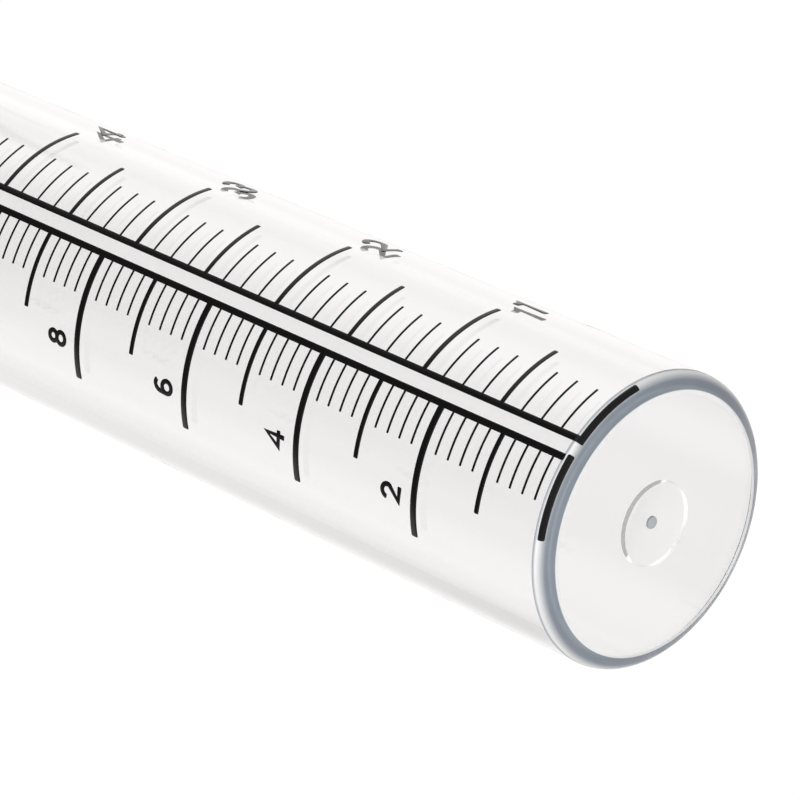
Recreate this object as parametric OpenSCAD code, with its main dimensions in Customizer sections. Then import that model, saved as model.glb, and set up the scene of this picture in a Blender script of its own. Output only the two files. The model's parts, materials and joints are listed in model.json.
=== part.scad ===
// Manual rain gauge: a clear graduated tube, closed below and open above, that hangs by its
// rim in a collar, and a riveted steel holder that carries the collar in front of a post.
// Frame: the origin is at the centre of the plate's rear face, +Z is up and -Y is the front.

/* [Measuring tube] */
// Outside diameter of the tube
tube_od = 35.6; // [29:0.1:44]
// Thickness of the tube's wall
tube_wall = 1.8; // [1.2:0.1:2.6]
// Length of the tube, from its closed end to its rim
tube_len = 208; // [204:1:260]
// Thickness of the closed end
floor_t = 1; // [0.8:0.1:2]
// How far the bevel at the closed end comes in from the side
edge_in = 1.8; // [0.8:0.1:2.4]
// How far the bevel at the closed end rises up the side
edge_rise = 1.35; // [0.6:0.05:2]
// Diameter of the gate well in the closed end
well_d = 10; // [6:0.5:14]
// Depth of the gate well
well_depth = 0.9; // [0.4:0.1:1.4]
// Diameter of the stub that the moulding gate leaves in the well
gate_d = 1.5; // [1:0.1:2.5]
// Height of the stub
gate_h = 0.3; // [0.1:0.05:0.4]
// Width of the rim that the tube hangs by
rim_w = 4; // [3:0.1:6]
// Thickness of the rim
rim_t = 3; // [2:0.1:5]
// Height of the bevel inside the mouth, which leaves a sharp catching edge
mouth_bevel = 1.2; // [0.5:0.1:1.6]

/* [Printed scales] */
// Thickness of the printed lines
ink_t = 0.12; // [0.08:0.01:0.2]
// Blank strip between the two scales
strip_w = 1.7; // [1.2:0.1:3]
// Width of the bar along each scale
bar_w = 0.85; // [0.5:0.05:1.5]
// Whole inches on the inch scale
inch_count = 7; // [1:1:7]
// Whole centimetres on the centimetre scale
cm_count = 17; // [1:1:17]
// Length of the printed bars above the tube's inner floor
bar_len = 178.4; // [178:0.1:180]
// Height of the inch numerals
inch_digit_h = 5; // [3:0.1:6]
// Height of the centimetre numerals
cm_digit_h = 3.4; // [2.5:0.1:6]

/* [Collar] */
// Thickness of the collar's wall
collar_wall = 1.9; // [1.5:0.1:3]
// Thickness of the collar's flange
collar_flange_t = 2.5; // [2:0.1:4]
// How far the flange stands out over the ring
collar_flange_w = 2.6; // [2.2:0.1:4]
// How far the snap lip stands out under the ring
lip_w = 0.8; // [0.5:0.1:1.2]
// Height of the snap lip
lip_h = 2.4; // [2:0.1:4]
// Clearance all round between the tube and the collar
tube_clear = 0.3; // [0.2:0.05:0.6]
// Running clearance between the collar and the ring
turn_clear = 0.05; // [0.03:0.01:0.1]
// Gap left between faces that rest on each other
seat_gap = 0.1; // [0.05:0.01:0.2]

/* [Ring strap] */
// Thickness of the strap
strap_t = 2; // [1.5:0.1:3]
// Height of the strap
strap_h = 18; // [14:0.5:22]
// Radius inside the bends where the strap leaves the ring
bend_r = 2.5; // [2:0.1:4]
// Length of each ear, from its bend to its end
ear_len = 14; // [12:0.5:18]
// Radius of the ears' outer corners
ear_corner_r = 3; // [1:0.5:5]

/* [Back plate] */
// Width of the plate
plate_w = 84; // [80:1:120]
// Height of the plate
plate_h = 28; // [24:1:40]
// Thickness of the plate
plate_t = 3; // [2:0.1:5]
// Radius of the plate's corners
plate_corner_r = 5; // [2:0.5:10]
// Distance between the two post screw holes
screw_spacing = 70; // [64:1:100]
// Diameter of the post screw holes
screw_hole_d = 5; // [4:0.1:6]
// Gap between the back of the ring and the plate
ring_gap = 5; // [4:0.5:12]

/* [Rivets] */
// Diameter of a rivet's shank
rivet_d = 4; // [3:0.1:5]
// Diameter of a rivet's head
rivet_head_d = 7; // [6:0.1:8]
// Height of a rivet's head
rivet_head_h = 1.8; // [1.2:0.1:2.4]
// Diameter of the closed tail, which fills a countersink in the plate's rear
rivet_tail_d = 6; // [5:0.1:7]
// Depth of the countersink
rivet_tail_h = 1; // [0.6:0.1:1.5]
// Clearance all round a rivet
rivet_clear = 0.05; // [0.02:0.01:0.1]
// Height between the two rivets of an ear
rivet_pitch = 9; // [8:0.5:12]

/* [Hidden] */
$fn = 96;
past = 1; // how far a cut runs past the face that it opens

// the tube
tube_r = tube_od / 2;
bore_r = tube_r - tube_wall;
rim_r = tube_r + rim_w;
floor_fillet = tube_wall / 2;
well_r = well_d / 2;
well_sphere_r = (well_r * well_r + well_depth * well_depth) / (2 * well_depth);

// the collar, the ring and the plate, from the tube outwards
collar_in_r = tube_r + tube_clear;
collar_r = collar_in_r + collar_wall;
ring_in_r = collar_r + turn_clear;
ring_r = ring_in_r + strap_t;
axis_y = -(plate_t + ring_gap + ring_r);
// heights: the plate is centred on the origin, and the strap is centred on the plate
ring_top = strap_h / 2;
ring_bottom = -strap_h / 2;
flange_z = ring_top + seat_gap;
rim_z = flange_z + collar_flange_t + seat_gap;
tube_z = rim_z + rim_t - tube_len;

// the strap's bends touch the ring and the ears, which lie on the plate
bend_y = -(plate_t + strap_t + bend_r);
bend_reach = ring_in_r + strap_t + bend_r;
neck_angle = acos((bend_y - axis_y) / bend_reach);
bend_x = bend_reach * sin(neck_angle);
arc_step = 3; // degrees between the points of the strap's outline
rivet_x = bend_x + ear_len / 2 + bend_r / 2;

// the scales: both start at the tube's inner floor, so that a mark reads the depth of water
inch = 25.4;
zero_z = floor_t;
thin_line = 0.3;
half_line = 0.65;
inch_line = 0.7;
cm_line = 1;
bar_in = degrees(strip_w / 2);
bar_out = degrees(strip_w / 2 + bar_w);
print_gap = 0.02; // what is left between the bars and the lines, so that each is a solid of its own
tick_in = bar_out + degrees(print_gap);
zero_reach = 35.6; // how far round each zero line runs from the front
zero_share = 0.65; // the share of the bevel that the zero lines leave bare
inch_reach = [25.6, 35.4, 45.8]; // ends of the eighth, half and whole inch lines
cm_reach = [22.3, 36.1, 56.8]; // ends of the fifth, odd and even centimetre lines
inch_digit_at = 58.3; // the numerals' place round the tube
inch_digit_drop = 1;
cm_digit_at = 42.6;
cm_digit_rise = 3.75;
stroke = 0.16; // a numeral's line width, as a share of its height

function degrees(length) = length / tube_r * 180 / PI;

// a strip of ink on the tube, from angle a0 to a1 round it (0 is the front, + is towards +X)
module ink_band(a0, a1, z, height)
    rotate([0, 0, a0 - 90])
        rotate_extrude(angle = a1 - a0)
            translate([tube_r, z]) square([ink_t, height]);

// a scale line centred on height z, from the bar round to its own end
module tick(side, reach, z, width)
    ink_band(side > 0 ? tick_in : -reach, side > 0 ? reach : -tick_in, z - width / 2, width);

// the bar beside the blank strip, and the zero line on the upper part of the bevel
module bar_and_zero(side) {
    slope = [edge_in, edge_rise] / norm([edge_in, edge_rise]);
    out = [slope[1], -slope[0]] * ink_t;
    low = [tube_r - edge_in * (1 - zero_share), edge_rise * zero_share];
    high = [tube_r, edge_rise];
    ink_band(side > 0 ? bar_in : -bar_out, side > 0 ? bar_out : -bar_in,
        edge_rise + print_gap, zero_z + bar_len - edge_rise - print_gap);
    rotate([0, 0, (side > 0 ? bar_in : -zero_reach) - 90])
        rotate_extrude(angle = zero_reach - bar_in)
            polygon([low, high, high + [ink_t, 0], high + out, low + out]);
}

function on_circle(angle) = [cos(angle), sin(angle)];

// a numeral's centre lines in a box 1 high, with the origin in the middle of its base
function bend(x, y, r, a0, a1, steps = 6) =
    [for (i = [0:steps]) [x, y] + r * on_circle(a0 + (a1 - a0) * i / steps)];
function strokes(digit) =
    digit == 0 ? [concat(bend(0, 0.7, 0.22, 0, 180), bend(0, 0.3, 0.22, 180, 360), [[0.22, 0.7]])]
    : digit == 1 ? [[[-0.18, 0.7], [0.02, 0.92], [0.02, 0.08]]]
    : digit == 2 ? [concat(bend(0, 0.68, 0.24, 170, -40), [[-0.24, 0.08], [0.27, 0.08]])]
    : digit == 3 ? [concat(bend(0, 0.7, 0.22, 160, -80, 8), bend(0, 0.3, 0.23, 80, -160, 8))]
    : digit == 4 ? [[[0.12, 0.08], [0.12, 0.92], [-0.27, 0.3], [0.3, 0.3]]]
    : digit == 5 ? [concat([[0.22, 0.92], [-0.16, 0.92], [-0.2, 0.48]], bend(0, 0.33, 0.25, 130, -150, 8))]
    : digit == 6 ? [concat(bend(0.02, 0.66, 0.26, 45, 170, 5), bend(0, 0.32, 0.24, 180, 540, 10))]
    : digit == 7 ? [[[-0.26, 0.92], [0.26, 0.92], [-0.06, 0.08]]]
    : [bend(0, 0.72, 0.2, -90, 270, 10), bend(0, 0.3, 0.22, 90, 450, 10)]; // 8, as no 9 is printed

// one straight stroke between two points, with square ends
module stroke_line(a, b, width)
    translate(a)
        rotate([0, 0, atan2(b[1] - a[1], b[0] - a[0])])
            translate([-width / 2, -width / 2]) square([norm(b - a) + width, width]);

module digit_shape(digit, height)
    for (line = strokes(digit))
        for (i = [0:len(line) - 2])
            stroke_line(line[i] * height, line[i + 1] * height, stroke * height);

// a number printed on the tube, centred on angle a and height z
module number(value, a, z, height) {
    pitch = 0.68 * height;
    figures = value < 10 ? [value] : [floor(value / 10), value % 10];
    first = -pitch * (len(figures) - 1) / 2;
    intersection() {
        ink_band(a - degrees(height), a + degrees(height), z - height, 2 * height);
        rotate([0, 0, a])
            translate([0, 0, z - height / 2])
                rotate([90, 0, 0])
                    linear_extrude(height = tube_r + past)
                        for (i = [0:len(figures) - 1])
                            translate([first + i * pitch, 0]) digit_shape(figures[i], height);
    }
}

// everything printed on the tube stands in the tube's place
module on_tube()
    translate([0, axis_y, tube_z]) children();

module measuring_tube() color([0.93, 0.95, 0.96, 0.35])
    on_tube() {
        difference() {
            union() {
                rotate_extrude()
                    polygon([[0, 0], [tube_r - edge_in, 0], [tube_r, edge_rise],
                        [tube_r, tube_len - rim_t], [rim_r, tube_len - rim_t], [rim_r, tube_len],
                        [bore_r + tube_wall / 2, tube_len], [bore_r, tube_len - mouth_bevel],
                        [bore_r, floor_t + floor_fillet], [bore_r - floor_fillet, floor_t],
                        [0, floor_t]]);
                // inside, the floor rises over the well, so that it stays as thick as elsewhere
                intersection() {
                    translate([0, 0, well_depth - well_sphere_r]) sphere(r = well_sphere_r + floor_t);
                    translate([0, 0, floor_t / 2]) cylinder(h = well_depth + floor_t, r = well_r + floor_t);
                }
            }
            translate([0, 0, well_depth - well_sphere_r]) sphere(r = well_sphere_r);
        }
        translate([0, 0, well_depth - gate_h]) cylinder(h = gate_h + floor_t / 2, d = gate_d);
    }

module inch_scale_lines() color("black")
    on_tube() {
        bar_and_zero(1);
        for (i = [1:8 * inch_count]) {
            kind = i % 8 == 0 ? 2 : i % 4 == 0 ? 1 : 0;
            tick(1, inch_reach[kind], zero_z + i * inch / 8, [thin_line, half_line, inch_line][kind]);
        }
    }

module inch_scale_numerals() color("black")
    on_tube()
        for (i = [1:inch_count])
            number(i, inch_digit_at, zero_z + i * inch - inch_digit_drop, inch_digit_h);

module cm_scale_lines() color("black")
    on_tube() {
        bar_and_zero(-1);
        for (i = [1:5 * cm_count]) {
            kind = i % 10 == 0 ? 2 : i % 5 == 0 ? 1 : 0;
            tick(-1, cm_reach[kind], zero_z + 2 * i, [thin_line, inch_line, cm_line][kind]);
        }
    }

module cm_scale_numerals() color("black")
    on_tube()
        for (i = [2:2:cm_count])
            number(i, -cm_digit_at, zero_z + 10 * i + cm_digit_rise, cm_digit_h);

// the collar lines the ring: its flange rests on the ring and its lip snaps under it
module collar() color([0.12, 0.12, 0.13])
    translate([0, axis_y, 0])
        rotate_extrude()
            polygon([[collar_in_r, ring_bottom - seat_gap - lip_h],
                [collar_r - lip_w / 2, ring_bottom - seat_gap - lip_h],
                [collar_r + lip_w, ring_bottom - seat_gap - lip_h / 2],
                [collar_r + lip_w, ring_bottom - seat_gap], [collar_r, ring_bottom - seat_gap],
                [collar_r, flange_z], [collar_r + collar_flange_w, flange_z],
                [collar_r + collar_flange_w, flange_z + collar_flange_t],
                [collar_in_r, flange_z + collar_flange_t]]);

// the rivets' places on the plate
module at_rivets()
    for (x = [-rivet_x, rivet_x])
        for (z = [-rivet_pitch / 2, rivet_pitch / 2])
            translate([x, 0, z]) children();

// a round hole along Y, through the plate and the strap
module hole(d)
    translate([0, past, 0])
        rotate([90, 0, 0]) cylinder(h = plate_t + strap_t + 2 * past, d = d);

// points along an arc, without its first
function arc(centre, r, from, to) =
    let (steps = ceil(abs(to - from) / arc_step))
    [for (i = [1:steps]) centre + r * on_circle(from + (to - from) * i / steps)];

// one side of the strap, seen from above, that far out from its middle: ear, bend, ring, bend, ear
function strap_side(out) =
    let (r = bend_r + strap_t / 2 - out, y = bend_y + r)
    concat([[-bend_x - ear_len, y], [-bend_x, y]],
        arc([-bend_x, bend_y], r, 90, neck_angle - 90),
        arc([0, axis_y], ring_in_r + strap_t / 2 + out, 90 + neck_angle, 450 - neck_angle),
        arc([bend_x, bend_y], r, 270 - neck_angle, 90),
        [[bend_x + ear_len, y]]);

function reversed(list) = [for (i = [len(list) - 1:-1:0]) list[i]];

// the strap is one bent strip, with the ears' outer corners rounded and their rivet holes
module ring_strap() color([0.2, 0.21, 0.22])
    difference() {
        translate([0, 0, ring_bottom])
            linear_extrude(height = strap_h)
                polygon(concat(strap_side(strap_t / 2), reversed(strap_side(-strap_t / 2))));
        at_rivets() hole(rivet_d + 2 * rivet_clear);
        for (side = [-1, 1])
            for (up = [-1, 1])
                translate([side * (bend_x + ear_len), 0, up * strap_h / 2]) ear_corner_cut(side, up);
    }

// what rounding takes off an ear's corner, with the origin at the corner
module ear_corner_cut(side, up)
    translate([-side * ear_corner_r, past, -up * ear_corner_r])
        rotate([90, 0, 0])
            linear_extrude(height = plate_t + strap_t + 2 * past)
                difference() {
                    translate([side > 0 ? 0 : -2 * ear_corner_r, up > 0 ? 0 : -2 * ear_corner_r])
                        square(2 * ear_corner_r);
                    circle(r = ear_corner_r);
                }

module back_plate() color([0.2, 0.21, 0.22])
    difference() {
        rotate([90, 0, 0])
            linear_extrude(height = plate_t)
                union() {
                    square([plate_w - 2 * plate_corner_r, plate_h], center = true);
                    square([plate_w, plate_h - 2 * plate_corner_r], center = true);
                    for (x = [-1, 1] * (plate_w / 2 - plate_corner_r))
                        for (z = [-1, 1] * (plate_h / 2 - plate_corner_r))
                            translate([x, z]) circle(r = plate_corner_r);
                }
        at_rivets() {
            hole(rivet_d + 2 * rivet_clear);
            rivet_tail(rivet_clear);
        }
        for (x = [-screw_spacing / 2, screw_spacing / 2])
            translate([x, 0, 0]) hole(screw_hole_d);
    }

// the cone that a rivet's tail is closed into, flush with the plate's rear
module rivet_tail(clear)
    rotate([90, 0, 0])
        cylinder(h = rivet_tail_h, d1 = rivet_tail_d + 2 * clear, d2 = rivet_d + 2 * clear);

module rivet(x, z) color([0.75, 0.76, 0.78])
    translate([x, 0, z]) {
        rivet_tail(0);
        rotate([90, 0, 0]) cylinder(h = plate_t + strap_t + rivet_head_h / 2, d = rivet_d);
        dome_r = (pow(rivet_head_d / 2, 2) + pow(rivet_head_h, 2)) / (2 * rivet_head_h);
        translate([0, -(plate_t + strap_t), 0])
            rotate([90, 0, 0])
                intersection() {
                    translate([0, 0, rivet_head_h - dome_r]) sphere(r = dome_r);
                    cylinder(h = rivet_head_h, d = rivet_head_d);
                }
    }

back_plate();
ring_strap();
rivet(-rivet_x, rivet_pitch / 2);  // rivet_upper_left
rivet(rivet_x, rivet_pitch / 2);  // rivet_upper_right
rivet(-rivet_x, -rivet_pitch / 2);  // rivet_lower_left
rivet(rivet_x, -rivet_pitch / 2);  // rivet_lower_right
collar();
measuring_tube();
inch_scale_lines();
inch_scale_numerals();
cm_scale_lines();
cm_scale_numerals();
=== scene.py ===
"""A manual rain gauge: a clear measuring tube with printed scales, hung by its rim in a collar,
and a riveted steel holder for the face of a post."""
import json
from math import acos, asin, atan2, ceil, cos, degrees, hypot, pi, radians, sin, sqrt, tan

import bmesh
import bpy
from mathutils import Matrix, Vector


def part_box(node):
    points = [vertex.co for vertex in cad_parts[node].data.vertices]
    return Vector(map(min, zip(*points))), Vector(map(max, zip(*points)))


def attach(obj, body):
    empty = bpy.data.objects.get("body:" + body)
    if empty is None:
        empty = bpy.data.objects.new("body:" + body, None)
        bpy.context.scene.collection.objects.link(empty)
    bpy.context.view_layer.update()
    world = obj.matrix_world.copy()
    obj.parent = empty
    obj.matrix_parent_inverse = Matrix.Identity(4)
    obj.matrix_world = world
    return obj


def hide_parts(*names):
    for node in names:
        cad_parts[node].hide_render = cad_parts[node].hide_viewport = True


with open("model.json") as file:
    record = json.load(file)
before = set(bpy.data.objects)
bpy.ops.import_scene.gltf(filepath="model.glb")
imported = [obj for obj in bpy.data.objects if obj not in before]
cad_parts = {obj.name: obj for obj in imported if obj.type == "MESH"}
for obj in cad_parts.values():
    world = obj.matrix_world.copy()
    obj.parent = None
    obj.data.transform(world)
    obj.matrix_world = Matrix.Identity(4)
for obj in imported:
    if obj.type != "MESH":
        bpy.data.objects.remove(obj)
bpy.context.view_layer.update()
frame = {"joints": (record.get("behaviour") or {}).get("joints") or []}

# ---- Back plate --------------------------------------------------------------------------------
# The steel plate that lies on the post. It is laser cut, its edges are deburred, two holes take
# the post screws and four take the rivets, and it is powder coated charcoal after cutting.
MM = 0.001
plate_low, plate_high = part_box("back_plate")
plate_t = plate_high.y - plate_low.y
plate_corner = 5 * MM
plate_edge = 0.35 * MM
screw_spacing = 70 * MM
screw_hole = 2.5 * MM
rivet_hole = 2.05 * MM
rivet_tail_hole = 3.05 * MM
rivet_places = {name: sum(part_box(name), Vector()) / 2 for name in (
    "rivet_upper_left", "rivet_upper_right", "rivet_lower_left", "rivet_lower_right")}


def circle(centre_x, centre_z, radius, count=64):
    turn = [2 * pi * i / count for i in range(count)]
    return [(centre_x + radius * cos(a), centre_z + radius * sin(a)) for a in turn]


def round_cornered(low_x, low_z, high_x, high_z, radius, steps=14):
    corners = ((high_x - radius, high_z - radius, 0), (low_x + radius, high_z - radius, 90),
               (low_x + radius, low_z + radius, 180), (high_x - radius, low_z + radius, 270))
    return [(x + radius * cos(radians(start + 90 * i / steps)),
             z + radius * sin(radians(start + 90 * i / steps)))
            for x, z, start in corners for i in range(steps + 1)]


def finished(name, mesh, sharp=24):
    """The piece made of this mesh, smooth but for the edges sharper than that many degrees."""
    work = bmesh.new()
    work.from_mesh(mesh)
    bmesh.ops.remove_doubles(work, verts=work.verts, dist=1e-7)
    bmesh.ops.recalc_face_normals(work, faces=work.faces)
    work.to_mesh(mesh)
    work.free()
    mesh.shade_smooth()
    mesh.set_sharp_from_angle(angle=radians(sharp))
    made = bpy.data.objects.new(name, mesh)
    bpy.context.scene.collection.objects.link(made)
    flats = made.modifiers.new("flats stay flat", "WEIGHTED_NORMAL")
    flats.keep_sharp = True
    return made


def sheet_metal(name, outlines, y_front, y_back, edge):
    """A flat plate between two y values, cut to the first outline, the others being its holes."""
    cut = bpy.data.curves.new(name, "CURVE")
    cut.dimensions = "2D"
    cut.fill_mode = "BOTH"
    for outline in outlines:
        line = cut.splines.new("POLY")
        line.points.add(len(outline) - 1)
        for point, (x, z) in zip(line.points, outline):
            point.co = (x, z, 0, 1)
        line.use_cyclic_u = True
    cut.offset = -edge
    cut.bevel_depth = edge
    cut.bevel_resolution = 3
    cut.extrude = (y_back - y_front) / 2 - edge
    flat = bpy.data.objects.new(name, cut)
    mesh = bpy.data.meshes.new_from_object(flat)
    bpy.data.objects.remove(flat)
    mesh.transform(Matrix.Translation((0, (y_front + y_back) / 2, 0)) @ Matrix.Rotation(pi / 2, 4, "X"))
    return finished(name, mesh)


def grain_group():
    """Fine surface grain: pits and swells at one size, and wider cloudy changes over them."""
    group = bpy.data.node_groups.new("surface grain", "ShaderNodeTree")
    for socket, kind, start in (("Grain Size", "NodeSocketFloat", 0.0003),
                                ("Cloud Size", "NodeSocketFloat", 0.01)):
        group.interface.new_socket(socket, in_out="INPUT", socket_type=kind).default_value = start
    for socket in ("Height", "Cloud"):
        group.interface.new_socket(socket, in_out="OUTPUT", socket_type="NodeSocketFloat")
    add, join = group.nodes.new, group.links.new
    given, out, place = add("NodeGroupInput"), add("NodeGroupOutput"), add("ShaderNodeTexCoord")
    for size, socket, detail in (("Grain Size", "Height", 3), ("Cloud Size", "Cloud", 4)):
        per_metre = add("ShaderNodeMath")
        per_metre.operation = "DIVIDE"
        per_metre.inputs[0].default_value = 1
        join(given.outputs[size], per_metre.inputs[1])
        noise = add("ShaderNodeTexNoise")
        noise.inputs["Detail"].default_value = detail
        join(place.outputs["Object"], noise.inputs["Vector"])
        join(per_metre.outputs[0], noise.inputs["Scale"])
        join(noise.outputs["Fac"], out.inputs[socket])
    return group


surface_grain = grain_group()


def new_material(name):
    """A material with a Principled shader, and the shader."""
    made = bpy.data.materials.new(name)
    made.use_nodes = True
    return made, made.node_tree.nodes["Principled BSDF"]


def add_grain(made, grain_size, cloud_size, depth):
    """Puts the grain group in a material, with its bump on the shader."""
    nodes, join = made.node_tree.nodes, made.node_tree.links.new
    grain = nodes.new("ShaderNodeGroup")
    grain.node_tree = surface_grain
    grain.inputs["Grain Size"].default_value = grain_size
    grain.inputs["Cloud Size"].default_value = cloud_size
    bump = nodes.new("ShaderNodeBump")
    bump.inputs["Strength"].default_value = 1
    bump.inputs["Distance"].default_value = depth
    join(grain.outputs["Height"], bump.inputs["Height"])
    join(bump.outputs["Normal"], nodes["Principled BSDF"].inputs["Normal"])
    return grain


def add_clouds(made, grain, socket, low, high):
    """Lets the grain's clouds run a shader input between two values or two colours."""
    nodes, join = made.node_tree.nodes, made.node_tree.links.new
    if isinstance(low, tuple):
        spread = nodes.new("ShaderNodeMix")
        spread.data_type = "RGBA"
        spread.inputs["A"].default_value = (*low, 1)
        spread.inputs["B"].default_value = (*high, 1)
        join(grain.outputs["Cloud"], spread.inputs["Factor"])
    else:
        spread = nodes.new("ShaderNodeMapRange")
        spread.inputs["From Min"].default_value = 0.3
        spread.inputs["From Max"].default_value = 0.7
        spread.inputs["To Min"].default_value = low
        spread.inputs["To Max"].default_value = high
        join(grain.outputs["Cloud"], spread.inputs["Value"])
    join(spread.outputs["Result"], nodes["Principled BSDF"].inputs[socket])


powder_coat, shader = new_material("charcoal powder coat")
shader.inputs["Coat Weight"].default_value = 0.15
shader.inputs["Coat Roughness"].default_value = 0.3
coat_grain = add_grain(powder_coat, 0.45 * MM, 14 * MM, 0.035 * MM)
add_clouds(powder_coat, coat_grain, "Base Color", (0.036, 0.039, 0.043), (0.056, 0.059, 0.064))
add_clouds(powder_coat, coat_grain, "Roughness", 0.42, 0.58)

plate = sheet_metal(
    "back_plate_coated",
    [round_cornered(plate_low.x, plate_low.z, plate_high.x, plate_high.z, plate_corner)]
    + [circle(side * screw_spacing / 2, 0, screw_hole) for side in (-1, 1)]
    + [circle(place.x, place.z, rivet_tail_hole) for place in rivet_places.values()],
    plate_low.y, plate_high.y, plate_edge)
# the rivet holes narrow towards the front, and the tails are closed into their wide rear ends
for point in plate.data.vertices:
    for place in rivet_places.values():
        away = Vector((point.co.x - place.x, 0, point.co.z - place.z))
        if away.length < rivet_tail_hole + 2 * plate_edge:
            depth = (plate_high.y - point.co.y) / plate_t
            point.co -= away.normalized() * (rivet_tail_hole - rivet_hole) * depth
plate.data.materials.append(powder_coat)
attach(plate, "holder")
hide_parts("back_plate")

# ---- Ring strap --------------------------------------------------------------------------------
# One strip of 2 mm steel, bent round a mandrel into an open ring with an ear on either side. The
# ears' corners are rounded and its edges tumbled, and it has the same coat as the plate.
strap_low, strap_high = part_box("ring_strap")
tube_axis = Vector(frame["joints"][0]["pos_m"])
strap_t = 2 * MM
strap_bend = 2.5 * MM
strap_edge = 0.45 * MM
ear_corner = 3 * MM
ring_outside = tube_axis.y - strap_low.y
ring_middle = ring_outside - strap_t / 2
bend_y = plate_low.y - strap_t - strap_bend
bend_reach = ring_outside + strap_bend
neck_angle = acos((bend_y - tube_axis.y) / bend_reach)
bend_x = bend_reach * sin(neck_angle)
# distances from an ear's end in millimetres, close together where its corners are round
from_ear_end = [0, 0.04, 0.1, 0.2, 0.32, 0.45, 0.7, 1, 1.4, 1.9, 2.4, 3]


def sweep_arc(centre_x, centre_y, radius, start, end, step=2.5):
    count = ceil(abs(end - start) / step)
    turn = [radians(start + (end - start) * i / count) for i in range(count + 1)]
    return [Vector((centre_x + radius * cos(a), centre_y + radius * sin(a))) for a in turn]


def strap_line():
    """The middle of the strip from above, from the left ear's end to the right ear's end."""
    ear_y = bend_y + strap_bend + strap_t / 2
    neck = degrees(neck_angle)
    ear = [Vector((strap_high.x - along * MM, ear_y)) for along in from_ear_end]
    middle_r = strap_bend + strap_t / 2
    return ([Vector((-point.x, point.y)) for point in ear]
            + sweep_arc(-bend_x, bend_y, middle_r, 90, neck - 90, 6)
            + sweep_arc(tube_axis.x, tube_axis.y, ring_middle, 90 + neck, 450 - neck)[1:]
            + sweep_arc(bend_x, bend_y, middle_r, 270 - neck, 90, 6)[1:]
            + list(reversed(ear)))


def strip_section(half_t, half_h, edge, steps=4):
    """The strip's cross-section, thickness by height, with rounded edges."""
    corners = ((1, 1, 0), (-1, 1, 90), (-1, -1, 180), (1, -1, 270))
    return [(across * (half_t - edge) + edge * cos(radians(start + 90 * i / steps)),
             up * (half_h - edge) + edge * sin(radians(start + 90 * i / steps)))
            for across, up, start in corners for i in range(steps + 1)]


def loft(rings, closed_ends=True):
    """A mesh through rings of points that have the same number of points."""
    work = bmesh.new()
    loops = [[work.verts.new(point) for point in ring] for ring in rings]
    for loop, after in zip(loops, loops[1:]):
        for i in range(len(loop)):
            j = (i + 1) % len(loop)
            work.faces.new((loop[i], loop[j], after[j], after[i]))
    if closed_ends:
        work.faces.new(loops[0])
        work.faces.new(list(reversed(loops[-1])))
    return work


def rounded_off(distance, radius):
    """How far a rounded end stands back, at a distance from that end."""
    inside = max(radius - distance, 0)
    return radius - sqrt(radius * radius - inside * inside)


line = strap_line()
rings = []
for i, point in enumerate(line):
    along = (line[min(i + 1, len(line) - 1)] - line[max(i - 1, 0)]).normalized()
    across = Vector((along.y, -along.x))
    in_an_ear = min(i, len(line) - 1 - i) < len(from_ear_end)
    to_end = strap_high.x - abs(point.x) if in_an_ear else 1
    edge_back = rounded_off(to_end, strap_edge)
    half_h = (strap_high.z - strap_low.z) / 2 - rounded_off(to_end, ear_corner) - edge_back
    section = strip_section(strap_t / 2 - edge_back, half_h, strap_edge - edge_back)
    rings.append([(*(point + across * a), up) for a, up in section])
work = loft(rings)
strap_mesh = bpy.data.meshes.new("ring_strap_coated")
work.to_mesh(strap_mesh)
work.free()
strap = finished("ring_strap_coated", strap_mesh)
strap.data.materials.append(powder_coat)
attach(strap, "holder")
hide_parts("ring_strap")

# ---- Rivets ------------------------------------------------------------------------------------
# Four stainless dome-head rivets, set cold from the front: the shank fills the hole and its tail
# is upset into the countersink behind, flush with the plate.
rivet_r = 2 * MM
rivet_head_r = 3.5 * MM
rivet_head_h = 1.8 * MM
rivet_tail_r = 3 * MM
rivet_tail_t = 1 * MM


def filleted(corners, steps=6, closed=False):
    """An outline through corners (r, z, fillet radius), with each corner rounded."""
    outline = []
    count = len(corners)
    for i, (r, z, fillet) in enumerate(corners):
        if not fillet or (not closed and i in (0, count - 1)):
            outline.append(Vector((r, z)))
            continue
        corner = Vector((r, z))
        before = (Vector(corners[i - 1][:2]) - corner).normalized()
        after = (Vector(corners[(i + 1) % count][:2]) - corner).normalized()
        half = acos(max(-1, min(1, before.dot(after)))) / 2
        centre = corner + (before + after).normalized() * fillet / sin(half)
        first = corner + before * fillet / tan(half) - centre
        last = corner + after * fillet / tan(half) - centre
        turn = (atan2(last.y, last.x) - atan2(first.y, first.x) + pi) % (2 * pi) - pi
        for k in range(steps + 1):
            a = atan2(first.y, first.x) + turn * k / steps
            outline.append(centre + fillet * Vector((cos(a), sin(a))))
    return outline


def turned(name, outline, count=192, closed=False, sharp=24):
    """A body of revolution about Z. An open outline starts and ends on the axis."""
    work = bmesh.new()
    loops = []
    for r, z in outline:
        if r < 1e-7:
            loops.append([work.verts.new((0, 0, z))])
        else:
            loops.append([work.verts.new((r * cos(2 * pi * i / count), r * sin(2 * pi * i / count), z))
                          for i in range(count)])
    for loop, after in zip(loops, loops[1:] + (loops[:1] if closed else [])):
        for i in range(count):
            j = (i + 1) % count
            ring = [loop[i % len(loop)], loop[j % len(loop)], after[j % len(after)], after[i % len(after)]]
            work.faces.new(list(dict.fromkeys(ring)))
    mesh = bpy.data.meshes.new(name)
    work.to_mesh(mesh)
    work.free()
    return finished(name, mesh, sharp)


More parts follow.
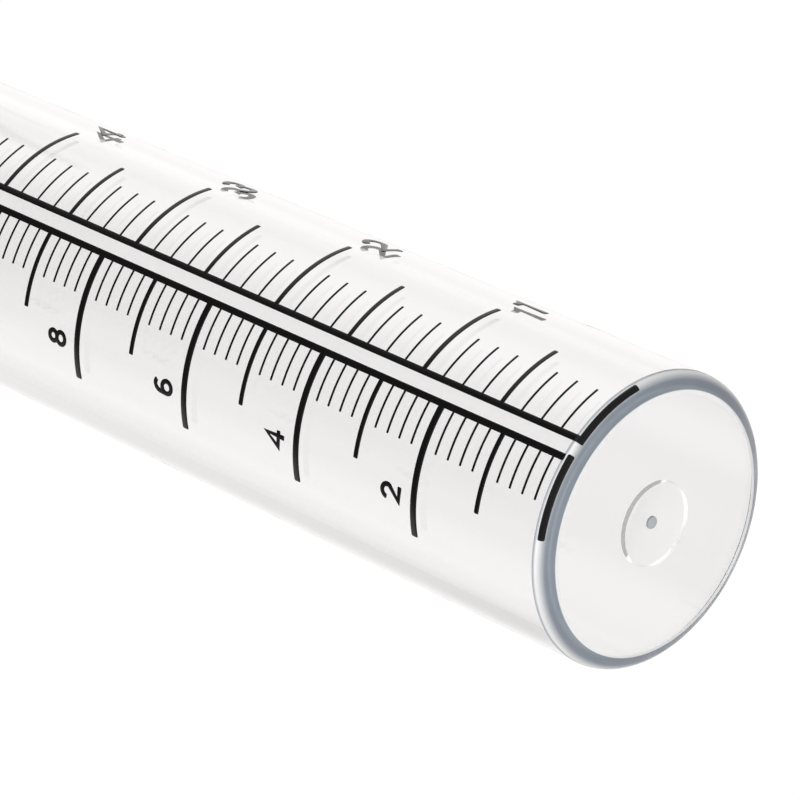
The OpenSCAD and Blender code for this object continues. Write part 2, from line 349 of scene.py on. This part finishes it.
stainless, shader = new_material("stainless rivet steel")
shader.inputs["Metallic"].default_value = 1
rivet_grain = add_grain(stainless, 0.12 * MM, 1.5 * MM, 0.004 * MM)
add_clouds(stainless, rivet_grain, "Base Color", (0.56, 0.565, 0.58), (0.68, 0.685, 0.69))
add_clouds(stainless, rivet_grain, "Roughness", 0.22, 0.38)

dome_r = (rivet_head_r ** 2 + rivet_head_h ** 2) / (2 * rivet_head_h)
dome_lean = asin(rivet_head_r / dome_r)
grip = plate_t + strap_t
head_rim = 0.15 * MM  # the small land at the foot of the dome
head_edge = 0.1 * MM
fine_edge = 0.05 * MM
tail_hollow = 0.06 * MM  # the setting tool leaves the tail's middle a little hollow
dome = [(dome_r * sin(dome_lean * i / 12), grip + rivet_head_h - dome_r + dome_r * cos(dome_lean * i / 12))
        for i in range(12)]
rivet_outline = ([Vector(point) for point in dome]
                 + filleted([(*dome[-1], 0), (rivet_head_r, grip + head_rim, head_edge),
                             (rivet_head_r, grip, fine_edge), (rivet_r, grip, 0),
                             (rivet_r, rivet_tail_t, 0), (rivet_tail_r, 2 * fine_edge, fine_edge),
                             (rivet_tail_r - 2 * fine_edge, 0, fine_edge), (0, tail_hollow, 0)])[1:])
for name, place in rivet_places.items():
    rivet = turned(name + "_set", rivet_outline, 96)
    rivet.data.transform(Matrix.Translation((place.x, plate_high.y, place.z))
                         @ Matrix.Rotation(pi / 2, 4, "X"))
    rivet.data.materials.append(stainless)
    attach(rivet, "holder")
    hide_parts(name)

# ---- Collar ------------------------------------------------------------------------------------
# A moulded rubber bush that lines the ring. Its flange lies on the ring and carries the tube's
# rim, and a lip under the ring keeps it in, so that it turns but doesn't lift out.
collar_low, collar_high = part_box("collar")
collar_in = 18.1 * MM
collar_out = 20 * MM
collar_flange_r = (collar_high.x - collar_low.x) / 2
collar_flange_t = 2.5 * MM
lip_r = 20.8 * MM
lip_top = strap_low.z - 0.1 * MM
lip_middle = (lip_top + collar_low.z) / 2
soft_edge = 0.5 * MM

rubber, shader = new_material("matt black rubber")
shader.inputs["Specular IOR Level"].default_value = 0.35
shader.inputs["Sheen Weight"].default_value = 0.12
shader.inputs["Sheen Roughness"].default_value = 0.6
rubber_grain = add_grain(rubber, 0.2 * MM, 6 * MM, 0.02 * MM)
add_clouds(rubber, rubber_grain, "Base Color", (0.022, 0.022, 0.024), (0.038, 0.038, 0.040))
add_clouds(rubber, rubber_grain, "Roughness", 0.62, 0.82)

collar_outline = filleted(
    [(collar_in, collar_low.z, soft_edge / 2), (collar_out - 0.4 * MM, collar_low.z, soft_edge),
     (lip_r, lip_middle, 0.3 * MM), (lip_r, lip_top, 0.25 * MM), (collar_out, lip_top, 0.15 * MM),
     (collar_out, collar_high.z - collar_flange_t, 0.2 * MM),
     (collar_flange_r, collar_high.z - collar_flange_t, soft_edge),
     (collar_flange_r, collar_high.z, soft_edge * 1.5), (collar_in, collar_high.z, soft_edge)],
    closed=True)
collar = turned("collar_moulded", collar_outline, closed=True)
collar.data.transform(Matrix.Translation(tube_axis))
collar.data.materials.append(rubber)
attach(collar, "collar")
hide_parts("collar")

# ---- Measuring tube ----------------------------------------------------------------------------
# One injection moulding in clear plastic: a closed end with a rounded bevel and the shallow well
# of the gate, a thick wall, a rim that it hangs by, and a bevelled mouth with a sharp edge.
# Its outlines are in millimetres from the closed end's face and from the axis.
tube_low, tube_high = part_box("measuring_tube")
tube_len = (tube_high.z - tube_low.z) / MM
tube_r = 17.8
bore_r = 16
rim_r = (tube_high.x - tube_low.x) / 2 / MM
rim_t = 3
floor_t = 1
face_r = 16
bevel_out_r = 17.2  # where the flat of the bevel ends and its rounded corner begins
bevel_flat_rise = 0.72
matt_edge_r = 15.4  # the face is polished up to here
floor_fillet = 0.15
well_r = 5
well_depth = 0.9
well_sphere_r = (well_r ** 2 + well_depth ** 2) / (2 * well_depth)
stub_r = 0.75
stub_h = 0.3
mouth_bevel = 1.2


def dish(radius, from_r, to_r, steps):
    """Points of a sphere round the gate well's centre, between two distances from the axis."""
    centre_z = well_depth - well_sphere_r
    away = [from_r + (to_r - from_r) * i / steps for i in range(steps + 1)]
    return [Vector((r, centre_z + sqrt(radius ** 2 - r ** 2))) for r in away]


bevel_lean = atan2(bevel_flat_rise, bevel_out_r - face_r)
corner_r = (tube_r - bevel_out_r) / (1 - sin(bevel_lean))
bevel_rise = bevel_flat_rise + corner_r * cos(bevel_lean)
bevel = [Vector((face_r, 0))] + [
    Vector((tube_r - corner_r + corner_r * sin(lean), bevel_rise - corner_r * cos(lean)))
    for lean in (bevel_lean + (pi / 2 - bevel_lean) * i / 10 for i in range(11))]
# over the well the floor rises inside the tube, as far out as this
bump_r = sqrt((well_sphere_r + floor_t) ** 2 - (floor_t - well_depth + well_sphere_r) ** 2)
stub_end = well_depth - stub_h
stub = filleted([(0, stub_end, 0), (stub_r, stub_end, 0.1), (stub_r, well_depth, 0)], 4)
outside = filleted([(*bevel[-1], 0), (tube_r, tube_len - rim_t, 0.6), (rim_r, tube_len - rim_t, 0.4),
                    (rim_r, tube_len, 0.8), (bore_r + 0.9, tube_len, 0.15),
                    (bore_r, tube_len - mouth_bevel, 0.4), (bore_r, floor_t, floor_fillet),
                    (bump_r, floor_t, 0)], 10)
tube_outline = (stub[:-1] + dish(well_sphere_r, stub_r, well_r, 14) + [Vector((matt_edge_r, 0))] + bevel
                + outside[1:] + dish(well_sphere_r + floor_t, bump_r, 0, 10)[1:])

plastic_ior = 1.57
clear_plastic, shader = new_material("clear moulded plastic")
shader.inputs["Base Color"].default_value = (1, 1, 1, 1)
shader.inputs["Transmission Weight"].default_value = 1
shader.inputs["IOR"].default_value = plastic_ior
tube_grain = add_grain(clear_plastic, 9 * MM, 25 * MM, 0.01 * MM)
add_clouds(clear_plastic, tube_grain, "Roughness", 0.0, 0.015)
satin_plastic, shader = new_material("satin bevel of the clear plastic")
shader.inputs["Transmission Weight"].default_value = 0.3
shader.inputs["IOR"].default_value = plastic_ior
satin_grain = add_grain(satin_plastic, 0.15 * MM, 3 * MM, 0.01 * MM)
# the satin's grey-blue base is painted shade: it stands in for the dark grey-blue that the clear bevel
# shows by refraction and by light trapped in its wall, and the clouds only vary its tone
add_clouds(satin_plastic, satin_grain, "Base Color", (0.19, 0.225, 0.27), (0.24, 0.275, 0.32))
add_clouds(satin_plastic, satin_grain, "Roughness", 0.3, 0.45)

# how pale the satin is painted at each distance in millimetres from the axis, painted light and shade over
# its grey-blue: the gate's stub stays mostly grey-blue, the narrow matt edge of the face is painted as pale
# as the clear face beside it, the flat of the bevel keeps the painted grey-blue shade, its rounded corner
# is painted lighter outwards as if lit through the wall, and the corner's last edge gets a thin painted
# dark line
nodes, join = satin_plastic.node_tree.nodes, satin_plastic.node_tree.links.new
place = nodes.new("ShaderNodeTexCoord")
across = nodes.new("ShaderNodeVectorMath")
across.operation = "MULTIPLY_ADD"
across.inputs[1].default_value = (1 / tube_r / MM, 1 / tube_r / MM, 0)
across.inputs[2].default_value = (-tube_axis.x / tube_r / MM, -tube_axis.y / tube_r / MM, 0)
join(place.outputs["Object"], across.inputs[0])
away = nodes.new("ShaderNodeVectorMath")
away.operation = "LENGTH"
join(across.outputs["Vector"], away.inputs[0])
paling = nodes.new("ShaderNodeValToRGB")
join(away.outputs["Value"], paling.inputs["Fac"])
steps = paling.color_ramp.elements
for from_axis, pale in ((1, 0.3), (15, 1), (15.88, 1), (15.93, 0), (16.95, 0.05), (17.3, 0.45), (17.65, 1),
                        (17.782, 1), (17.792, 0.1)):
    step = steps.new(from_axis / tube_r)
    step.color = (pale, pale, pale, 1)
steps.remove(steps[0])
steps.remove(steps[-1])
# the pale white that the ramp mixes into the grey-blue is painted light
painted_light_pale = (0.88, 0.88, 0.88, 1)
paled = nodes.new("ShaderNodeMix")
paled.data_type = "RGBA"
paled.inputs["B"].default_value = painted_light_pale
join(paling.outputs["Color"], paled.inputs["Factor"])
join(shader.inputs["Base Color"].links[0].from_socket, paled.inputs["A"])
join(paled.outputs["Result"], shader.inputs["Base Color"])
# a thick wall looks faintly grey: the plastic takes a little light on the way through
for made in (clear_plastic, satin_plastic):
    nodes, join = made.node_tree.nodes, made.node_tree.links.new
    depth_tint = nodes.new("ShaderNodeVolumeAbsorption")
    depth_tint.inputs["Color"].default_value = (0.88, 0.9, 0.91, 1)
    depth_tint.inputs["Density"].default_value = 14
    join(depth_tint.outputs["Volume"], nodes["Material Output"].inputs["Volume"])

tube_place = Matrix.Translation((tube_axis.x, tube_axis.y, tube_low.z)) @ Matrix.Scale(MM, 4)
tube = turned("measuring_tube_moulded", tube_outline, 256, sharp=14)
tube.data.materials.append(clear_plastic)
tube.data.materials.append(satin_plastic)
flush = 0.01
for face in tube.data.polygons:
    from_axis = hypot(face.center.x, face.center.y)
    on_face_edge = face.center.z < flush and from_axis > matt_edge_r
    on_bevel = face.center.z < bevel_rise and from_axis > face_r
    on_stub = face.center.z < well_depth and from_axis < stub_r
    face.material_index = 1 if on_face_edge or on_bevel or on_stub else 0
tube.data.transform(tube_place)
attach(tube, "tube")
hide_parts("measuring_tube")

# ---- Printed lines -----------------------------------------------------------------------------
# Two scales in glossy black ink, screen printed on the outside of the tube: inches in eighths on
# the right and centimetres in fifths on the left. Each has a bar beside the blank strip and a
# zero line round the bevel. Surface tension leaves the wet ink crowned, with round edges.
ink_t = 0.09
ink_sunk = 0.012
strip_half = 0.85
bar_w = 0.85
bar_top = 179.4
inch = 25.4
zero_reach = radians(35.6) * tube_r
bevel_len = sum((b - a).length for a, b in zip(bevel, bevel[1:]))
zero_low, zero_high = 1.4, 2.235  # the zero lines' edges, up the outside from the closed face
cm_zero_lap = 0.14  # how far the centimetre zero line runs into the blank strip
cm_bar_gap = 0.2  # between that line and its bar


def on_outside(along, rise, height):
    """A point of the print: along is round the tube from its front, rise is up its outside from
    the closed face's edge, and height is off the surface."""
    if rise >= bevel_len:
        place, out = Vector((tube_r, bevel_rise + rise - bevel_len)), Vector((1, 0))
    else:
        left = max(rise, 0)
        for a, b in zip(bevel, bevel[1:]):
            if left <= (b - a).length:
                break
            left -= (b - a).length
        step = (b - a).normalized()
        place, out = a + step * left, Vector((step.y, -step.x))
    place += out * height
    turn = along / tube_r
    return place.x * sin(turn), -place.x * cos(turn), place.y


def at_height(z):
    return bevel_len + z - bevel_rise


# the crowned section of a line, across by up, and how its ends taper: along, width and height
ink_edge = ((-1, -1), (-1, 0.3), (-0.93, 0.72), (-0.75, 0.93), (-0.4, 1), (0, 1), (0.4, 1), (0.75, 0.93),
            (0.93, 0.72), (1, 0.3), (1, -1))
ink_end = ((0, 0.68, 0.25), (0.05, 0.85, 0.7), (0.15, 0.96, 0.93))


def ink_line(work, points, width, closed=False):
    """Lays a line of ink along points (along, rise), mitred at its corners."""
    points = [Vector(point) for point in points]
    marks = []
    count = len(points)
    for i, point in enumerate(points):
        before = points[i - 1] if closed or i else None
        after = points[(i + 1) % count] if closed or i < count - 1 else None
        way_in = (point - before).normalized() if before else None
        way_out = (after - point).normalized() if after else None
        way = ((way_in or way_out) + (way_out or way_in)).normalized()
        side = Vector((-way.y, way.x))
        stretch = 1 / max(0.6, side.dot(Vector((-way_in.y, way_in.x)))) if before and after else 1
        marks.append((point, side, width / 2 * stretch, 1, way))
    if not closed:
        first, last = marks[0], marks[-1]
        head = [(first[0] + first[4] * d * width, first[1], first[2] * w, h, first[4])
                for d, w, h in ink_end]
        tail = [(last[0] - last[4] * d * width, last[1], last[2] * w, h, last[4])
                for d, w, h in reversed(ink_end)]
        room = 0.3 * width
        marks[0] = (first[0] + first[4] * room, *first[1:])
        marks[-1] = (last[0] - last[4] * room, *last[1:])
        marks = head + marks + tail
    loops = []
    for point, side, half, rise, _ in marks:
        loop = []
        for across, height in ink_edge:
            spot = point + side * half * across
            lift = -ink_sunk if height < 0 else ink_t * height * rise
            loop.append(work.verts.new(on_outside(spot.x, spot.y, lift)))
        loops.append(loop)
    for loop, after in zip(loops, loops[1:] + (loops[:1] if closed else [])):
        for i in range(len(loop)):
            j = (i + 1) % len(loop)
            work.faces.new((loop[i], loop[j], after[j], after[i]))
    if not closed:
        work.faces.new(loops[0])
        work.faces.new(list(reversed(loops[-1])))


def along_arc(start, end, rise, step=0.5):
    """Points round the tube at one height."""
    count = max(1, ceil(abs(end - start) / step))
    return [(start + (end - start) * i / count, rise) for i in range(count + 1)]


def scale_lines(side, top, spacing, reaches, widths, kinds):
    """One scale: its bar, its zero line and its lines, side being +1 to the right. Each kind of
    line stands at every so many marks, and has its reach round the tube in degrees and a width."""
    work = bmesh.new()
    bar_middle = side * (strip_half + bar_w / 2)
    bar_end = at_height(bar_top)
    bar_foot, zero_from = ((zero_low, strip_half) if side > 0
                           else (zero_high + cm_bar_gap, strip_half - cm_zero_lap))
    ink_line(work, [(bar_middle, bar_foot + (bevel_len - bar_foot) * i / 8) for i in range(9)]
             + [(bar_middle, bar_end / 2), (bar_middle, bar_end)], bar_w)
    ink_line(work, along_arc(side * zero_from, side * zero_reach, (zero_low + zero_high) / 2),
             zero_high - zero_low)
    for i in range(1, top + 1):
        kind = max(k for k, every in enumerate(kinds) if i % every == 0)
        z = floor_t + i * spacing
        ink_line(work, along_arc(side * (strip_half + bar_w / 2), side * radians(reaches[kind]) * tube_r,
                                 at_height(z)), widths[kind])
    return work


def printed(name, work, node):
    mesh = bpy.data.meshes.new(name)
    work.to_mesh(mesh)
    work.free()
    made = finished(name, mesh, 40)
    made.data.transform(tube_place)
    made.data.materials.append(ink)
    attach(made, "tube")
    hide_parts(node)
    return made


ink, shader = new_material("glossy black ink")
shader.inputs["Specular IOR Level"].default_value = 0.05
shader.inputs["Coat Weight"].default_value = 0.65
shader.inputs["Coat Roughness"].default_value = 0.08
ink_grain = add_grain(ink, 0.25 * MM, 4 * MM, 0.004 * MM)
add_clouds(ink, ink_grain, "Base Color", (0.0015, 0.0015, 0.002), (0.004, 0.004, 0.0045))
add_clouds(ink, ink_grain, "Roughness", 0.16, 0.3)

printed("inch_lines_printed", scale_lines(1, 56, inch / 8, (25.6, 35.4, 45.8), (0.3, 0.65, 0.7), (1, 4, 8)),
        "inch_scale_lines")
printed("cm_lines_printed", scale_lines(-1, 85, 2, (22.3, 36.1, 56.8), (0.3, 0.7, 1), (1, 5, 10)),
        "cm_scale_lines")

# ---- Printed numerals --------------------------------------------------------------------------
# Whole inches beside the inch lines' ends and every second centimetre above its line, in plain
# upright figures of the same ink. A figure is drawn with one round-nosed width of line.
inch_figure_h = 5
inch_figure_at = radians(58.3) * tube_r
inch_figure_drop = 1
cm_figure_h = 3.4
cm_figure_at = -radians(42.6) * tube_r
cm_figure_rise = 3.75
figure_line = 0.185
figure_w = 0.64
figure_pitch = 0.78


def bow(x, y, rx, ry, start, end, steps=14):
    turn = [radians(start + (end - start) * i / steps) for i in range(steps + 1)]
    return [(x + rx * cos(a), y + ry * sin(a)) for a in turn]


# each figure's centre lines in a box 1 high, with x measured from its middle
half_w = (figure_w - figure_line) / 2
foot, head = figure_line / 2, 1 - figure_line / 2
figures = {
    0: [bow(0, 0.5, half_w, 0.42, 0, 360, 28)[:-1]],
    1: [[(-0.21, 0.76), (-0.03, 0.8), (0.06, head), (0.06, 0)]],
    2: [bow(0, 0.68, half_w, 0.24, 175, -28) + [(-half_w, foot + 0.03), (half_w + 0.08, foot)]],
    3: [bow(0, 0.71, half_w - 0.02, 0.21, 165, -80, 10) + bow(0, 0.3, half_w, 0.22, 80, -165, 12)],
    4: [[(0.13, 0), (0.13, head), (-0.27, 0.3), (half_w + 0.1, 0.3)]],
    5: [[(half_w, head), (-0.15, head), (-0.2, 0.48)] + bow(0, 0.33, half_w, 0.25, 140, -160, 14)],
    6: [bow(0.03, 0.6, half_w + 0.02, 0.32, 50, 180, 10)[:-1] + bow(0, 0.32, half_w, 0.24, 180, 540, 22)],
    7: [[(-half_w, head), (half_w, head), (0.02, 0.5), (-0.08, 0)]],
    8: [bow(0, 0.72, half_w - 0.03, 0.2, 0, 360, 20)[:-1], bow(0, 0.3, half_w, 0.22, 0, 360, 24)[:-1]],
}
whole_loops = (0, 8)


def numeral(work, value, along, z, height):
    """A number centred there, upright on the tube."""
    digits = [int(letter) for letter in str(value)]
    first = -figure_pitch * height * (len(digits) - 1) / 2
    for k, digit in enumerate(digits):
        for path in figures[digit]:
            points = [(along + first + (k * figure_pitch + x) * height, at_height(z + (y - 0.5) * height))
                      for x, y in path]
            ink_line(work, points, figure_line * height, digit in whole_loops)


work = bmesh.new()
for count in range(1, 8):
    numeral(work, count, inch_figure_at, floor_t + count * inch - inch_figure_drop, inch_figure_h)
printed("inch_numerals_printed", work, "inch_scale_numerals")
work = bmesh.new()
for count in range(2, 17, 2):
    numeral(work, count, cm_figure_at, floor_t + 10 * count + cm_figure_rise, cm_figure_h)
printed("cm_numerals_printed", work, "cm_scale_numerals")

# ---- Studio ------------------------------------------------------------------------------------
# A plain pale floor well below the hanging gauge, pale walls low down and a white backdrop that
# dims towards the room, with a tall soft box on either side above and a fill card low in front.
floor_z = -1.2
floor_half = 9.0
camera_at = Vector((-0.09217, -0.44218, -0.53201))
camera_sees = Vector((0.00105, -0.03029, -0.15016))
camera_roll = radians(-65.997)
camera_lens = 216.63

work = bmesh.new()
corners = [work.verts.new((x * floor_half, y * floor_half, floor_z))
           for x, y in ((-1, -1), (1, -1), (1, 1), (-1, 1))]
work.faces.new(corners)
floor_mesh = bpy.data.meshes.new("studio_floor")
work.to_mesh(floor_mesh)
work.free()
floor = bpy.data.objects.new("studio_floor", floor_mesh)
bpy.context.scene.collection.objects.link(floor)
floor_paint, shader = new_material("pale floor")
shader.inputs["Base Color"].default_value = (0.65, 0.65, 0.65, 1)
shader.inputs["Roughness"].default_value = 0.8
floor.data.materials.append(floor_paint)

world = bpy.data.worlds.new("studio")
bpy.context.scene.world = world
world.use_nodes = True
nodes, join = world.node_tree.nodes, world.node_tree.links.new
to_backdrop = (camera_sees - camera_at).normalized()
room_light = 0.13
backdrop_seen = 1.05  # the camera itself sees one even white all round
warm_white = (1, 0.985, 0.98, 1)
place = nodes.new("ShaderNodeTexCoord")
light = None
for toward, dark_at, full_at, strength in (
        (Vector((0.3, 0.68, 0.67)), 0.65, 0.995, 0.87),     # the white backdrop
        (Vector((0, 0, -1)), -0.55, -0.3, 0.62),            # the pale walls all round, low down
        (Vector((0.708, -0.22, 0.671)), 0.75, 1.0, 0.74),   # right soft box
        (Vector((-0.66, 0.33, 0.67)), 0.8, 1.0, 0.7)):      # left soft box
    facing = nodes.new("ShaderNodeVectorMath")
    facing.operation = "DOT_PRODUCT"
    facing.inputs[1].default_value = toward.normalized()
    join(place.outputs["Generated"], facing.inputs[0])
    glow = nodes.new("ShaderNodeMapRange")
    glow.interpolation_type = "SMOOTHSTEP"
    glow.inputs["From Min"].default_value = dark_at
    glow.inputs["From Max"].default_value = full_at
    glow.inputs["To Max"].default_value = strength
    join(facing.outputs["Value"], glow.inputs["Value"])
    total = nodes.new("ShaderNodeMath")
    total.inputs[0].default_value = room_light
    if light:
        join(light.outputs[0], total.inputs[0])
    join(glow.outputs["Result"], total.inputs[1])
    light = total
seen = nodes.new("ShaderNodeLightPath")
plain = nodes.new("ShaderNodeMix")
join(seen.outputs["Is Camera Ray"], plain.inputs["Factor"])
join(light.outputs[0], plain.inputs["A"])
plain.inputs["B"].default_value = backdrop_seen
join(plain.outputs["Result"], nodes["Background"].inputs["Strength"])
nodes["Background"].inputs["Color"].default_value = warm_white

box_width, box_height, box_away = 0.5, 0.9, 1.1
for name, toward, power in (("right_soft_box", (0.708, -0.22, 0.671), 1),
                            ("left_soft_box", (-0.741, -0.02, 0.671), 1),
                            ("fill_card", (-0.35, -0.6, -0.72), 4.5)):
    lamp = bpy.data.lights.new(name, "AREA")
    lamp.shape = "RECTANGLE"
    lamp.size = box_width
    lamp.size_y = box_height
    lamp.energy = 2 * pi * box_width * box_height * power
    soft_box = bpy.data.objects.new(name, lamp)
    toward = Vector(toward)
    soft_box.location = camera_sees + toward * box_away
    soft_box.rotation_euler = toward.to_track_quat("Z", "Y").to_euler()
    soft_box.visible_glossy = False
    soft_box.visible_transmission = False
    bpy.context.scene.collection.objects.link(soft_box)

camera = bpy.data.objects.new("camera", bpy.data.cameras.new("camera"))
camera.data.lens = camera_lens
camera.data.sensor_width = 36
camera.data.clip_start = 0.01
camera.location = camera_at
camera.rotation_euler = (to_backdrop.to_track_quat("-Z", "Y").to_matrix()
                         @ Matrix.Rotation(camera_roll, 3, "Z")).to_euler()
bpy.context.scene.collection.objects.link(camera)
bpy.context.scene.camera = camera
bpy.context.scene.view_settings.view_transform = "Standard"
# light that the tube's wall leads along bounces off its inside many times
wall_bounces = 160
bpy.context.scene.cycles.max_bounces = wall_bounces
bpy.context.scene.cycles.transmission_bounces = wall_bounces
bpy.context.scene.cycles.glossy_bounces = wall_bounces
